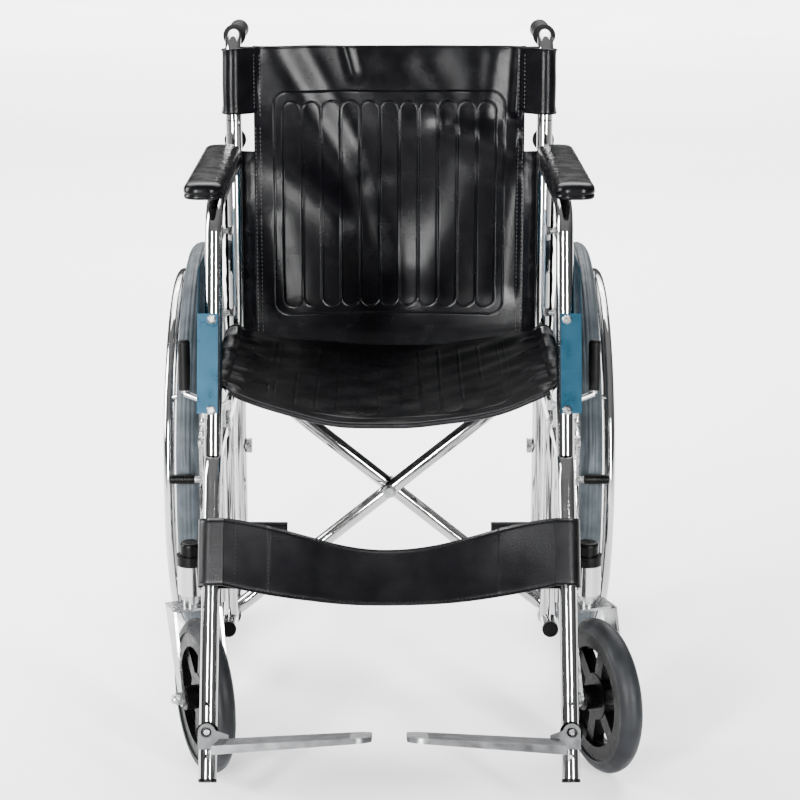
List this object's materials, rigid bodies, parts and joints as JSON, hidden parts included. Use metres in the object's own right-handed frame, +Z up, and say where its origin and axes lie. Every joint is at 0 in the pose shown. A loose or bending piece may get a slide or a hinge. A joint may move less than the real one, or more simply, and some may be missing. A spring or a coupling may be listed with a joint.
{
  "type": "manual wheelchair",
  "caption": "Folding self-propelled wheelchair: chromed tube frame, spoked wheels with push rims, swivel casters, brakes, arm pads and flip-up footplates.",
  "frame": {"origin": "on the floor, at the middle of the overall box", "axes": "+X to the sitter's left, +Y backwards, +Z up"},
  "size_m": [0.6254, 1.0765, 0.911],
  "materials": {
    "chrome_tube": "polished chrome plate",
    "chrome_rim": "chrome plate",
    "spoke_steel": "bright drawn wire and turned hub",
    "zinc_steel": "bright zinc plate",
    "fork_alloy": "satin silver",
    "cast_alloy": "cast, satin",
    "guard_paint": "metallic blue-green gloss",
    "black_vinyl": "coated vinyl upholstery, half gloss",
    "pad_foam": "moulded skin foam",
    "grip_rubber": "moulded, soft sheen",
    "black_plastic": "moulded",
    "grey_tyre": "solid grey rubber",
    "caster_rubber": "solid dark grey rubber"
  },
  "bodies": {
    "frame_left": {"rear_upright_left": "chrome_tube", "arm_tube_left": "chrome_tube", "hanger_tube_left": "chrome_tube", "lower_rail_left": "chrome_tube", "lower_uprights_left": "chrome_tube", "caster_housing_left": "chrome_tube", "seat_saddles_left": "zinc_steel", "skirt_guard_left": "guard_paint", "arm_pad_left": "pad_foam", "axle_bolt_left": "zinc_steel", "brake_bracket_left": "zinc_steel", "plastic_caps_left": "black_plastic", "fasteners_left": "zinc_steel", "back_upholstery_lower": "black_vinyl", "calf_strap": "black_vinyl"},
    "frame_right": {"rear_upright_right": "chrome_tube", "arm_tube_right": "chrome_tube", "hanger_tube_right": "chrome_tube", "lower_rail_right": "chrome_tube", "lower_uprights_right": "chrome_tube", "caster_housing_right": "chrome_tube", "seat_saddles_right": "zinc_steel", "skirt_guard_right": "guard_paint", "arm_pad_right": "pad_foam", "axle_bolt_right": "zinc_steel", "brake_bracket_right": "zinc_steel", "plastic_caps_right": "black_plastic", "fasteners_right": "zinc_steel"},
    "brace_a": {"cross_brace_a": "chrome_tube", "brace_bolt": "zinc_steel"},
    "brace_b": {"cross_brace_b": "chrome_tube"},
    "seat": {"seat_sling": "black_vinyl"},
    "upper_back_left": {"push_cane_left": "chrome_tube", "hand_grip_left": "grip_rubber", "back_upholstery_upper": "black_vinyl"},
    "upper_back_right": {"push_cane_right": "chrome_tube", "hand_grip_right": "grip_rubber"},
    "rear_wheel_left": {"rear_tyre_left": "grey_tyre", "rear_rim_left": "chrome_rim", "rear_hub_and_spokes_left": "spoke_steel", "handrim_left": "chrome_tube"},
    "caster_swivel_left": {"caster_fork_left": "fork_alloy"},
    "caster_wheel_left": {"caster_hub_left": "black_plastic", "caster_tyre_left": "caster_rubber"},
    "brake_lever_left": {"brake_lever_left": "zinc_steel", "brake_grip_left": "grip_rubber"},
    "brake_arm_left": {"brake_arm_left": "zinc_steel"},
    "footplate_left": {"footplate_left": "cast_alloy"},
    "rear_wheel_right": {"rear_tyre_right": "grey_tyre", "rear_rim_right": "chrome_rim", "rear_hub_and_spokes_right": "spoke_steel", "handrim_right": "chrome_tube"},
    "caster_swivel_right": {"caster_fork_right": "fork_alloy"},
    "caster_wheel_right": {"caster_hub_right": "black_plastic", "caster_tyre_right": "caster_rubber"},
    "brake_lever_right": {"brake_lever_right": "zinc_steel", "brake_grip_right": "grip_rubber"},
    "brake_arm_right": {"brake_arm_right": "zinc_steel"},
    "footplate_right": {"footplate_right": "cast_alloy"}
  },
  "joints": [
    {"name": "fold", "type": "hinge", "parent": "frame_left", "child": "brace_a", "pos_m": [0.221, 0.04975, 0.116], "axis": [0, 1, 0], "range_deg": [0, 40], "deforming": ["seat_sling", "back_upholstery_lower", "back_upholstery_upper", "calf_strap"]},
    {"name": "brace_pivot", "type": "hinge", "parent": "brace_a", "child": "brace_b", "pos_m": [0, 0.03825, 0.295], "axis": [0, 1, 0], "range_deg": [-80, 0]},
    {"name": "right_rail_pivot", "type": "hinge", "parent": "brace_b", "child": "frame_right", "pos_m": [-0.221, 0.02675, 0.116], "axis": [0, 1, 0], "range_deg": [0, 40]},
    {"name": "seat_pivot", "type": "hinge", "parent": "brace_b", "child": "seat", "pos_m": [0.221, 0.03825, 0.474], "axis": [0, 1, 0], "range_deg": [0, 40]},
    {"name": "footplate_left_flip", "type": "hinge", "parent": "frame_left", "child": "footplate_left", "pos_m": [0.221, -0.40157, 0.111], "axis": [0, 0.8965, -0.4431], "range_deg": [0, 110]},
    {"name": "footplate_right_flip", "type": "hinge", "parent": "frame_right", "child": "footplate_right", "pos_m": [-0.221, -0.40157, 0.111], "axis": [0, -0.8965, 0.4431], "range_deg": [0, 110]},
    {"name": "back_fold", "type": "hinge", "parent": "frame_left", "child": "upper_back_left", "pos_m": [0.221, 0.25525, 0.779], "axis": [-1, 0, 0], "range_deg": [0, 90]},
    {"name": "back_fold_right", "type": "hinge", "parent": "frame_right", "child": "upper_back_right", "pos_m": [-0.221, 0.25525, 0.779], "axis": [-1, 0, 0], "range_deg": [0, 90]},
    {"name": "rear_wheel_left_spin", "type": "hinge", "parent": "frame_left", "child": "rear_wheel_left", "pos_m": [0.272, 0.23825, 0.3], "axis": [1, 0, 0], "continuous": true},
    {"name": "caster_left_swivel", "type": "hinge", "parent": "frame_left", "child": "caster_swivel_left", "pos_m": [0.255, -0.20275, 0.24], "axis": [0, 0, 1], "continuous": true},
    {"name": "caster_left_roll", "type": "hinge", "parent": "caster_swivel_left", "child": "caster_wheel_left", "pos_m": [0.2722, -0.24756, 0.1], "axis": [0.9336, 0.3584, 0], "continuous": true},
    {"name": "brake_left", "type": "hinge", "parent": "frame_left", "child": "brake_lever_left", "pos_m": [0.244, -0.10575, 0.424], "axis": [1, 0, 0], "range_deg": [0, 40]},
    {"name": "brake_left_press", "type": "hinge", "parent": "frame_left", "child": "brake_arm_left", "pos_m": [0.25, -0.08375, 0.392], "axis": [1, 0, 0], "range_deg": [0, 10]},
    {"name": "rear_wheel_right_spin", "type": "hinge", "parent": "frame_right", "child": "rear_wheel_right", "pos_m": [-0.272, 0.23825, 0.3], "axis": [1, 0, 0], "continuous": true},
    {"name": "caster_right_swivel", "type": "hinge", "parent": "frame_right", "child": "caster_swivel_right", "pos_m": [-0.255, -0.20275, 0.24], "axis": [0, 0, 1], "continuous": true},
    {"name": "caster_right_roll", "type": "hinge", "parent": "caster_swivel_right", "child": "caster_wheel_right", "pos_m": [-0.2378, -0.24756, 0.1], "axis": [0.9336, 0.3584, 0], "continuous": true},
    {"name": "brake_right", "type": "hinge", "parent": "frame_right", "child": "brake_lever_right", "pos_m": [-0.244, -0.10575, 0.424], "axis": [1, 0, 0], "range_deg": [0, 40]},
    {"name": "brake_right_press", "type": "hinge", "parent": "frame_right", "child": "brake_arm_right", "pos_m": [-0.25, -0.08375, 0.392], "axis": [1, 0, 0], "range_deg": [0, 10]}
  ],
  "couplings": [
    {"joint": "brace_pivot", "follows": "fold", "ratio": -2},
    {"joint": "right_rail_pivot", "follows": "fold", "ratio": 1},
    {"joint": "seat_pivot", "follows": "fold", "ratio": 1},
    {"joint": "footplate_left_flip", "follows": "fold", "ratio": 2.75},
    {"joint": "footplate_right_flip", "follows": "fold", "ratio": 2.75},
    {"joint": "back_fold_right", "follows": "back_fold", "ratio": 1},
    {"joint": "brake_left_press", "follows": "brake_left", "ratio": 0.25},
    {"joint": "brake_right_press", "follows": "brake_right", "ratio": 0.25}
  ]
}
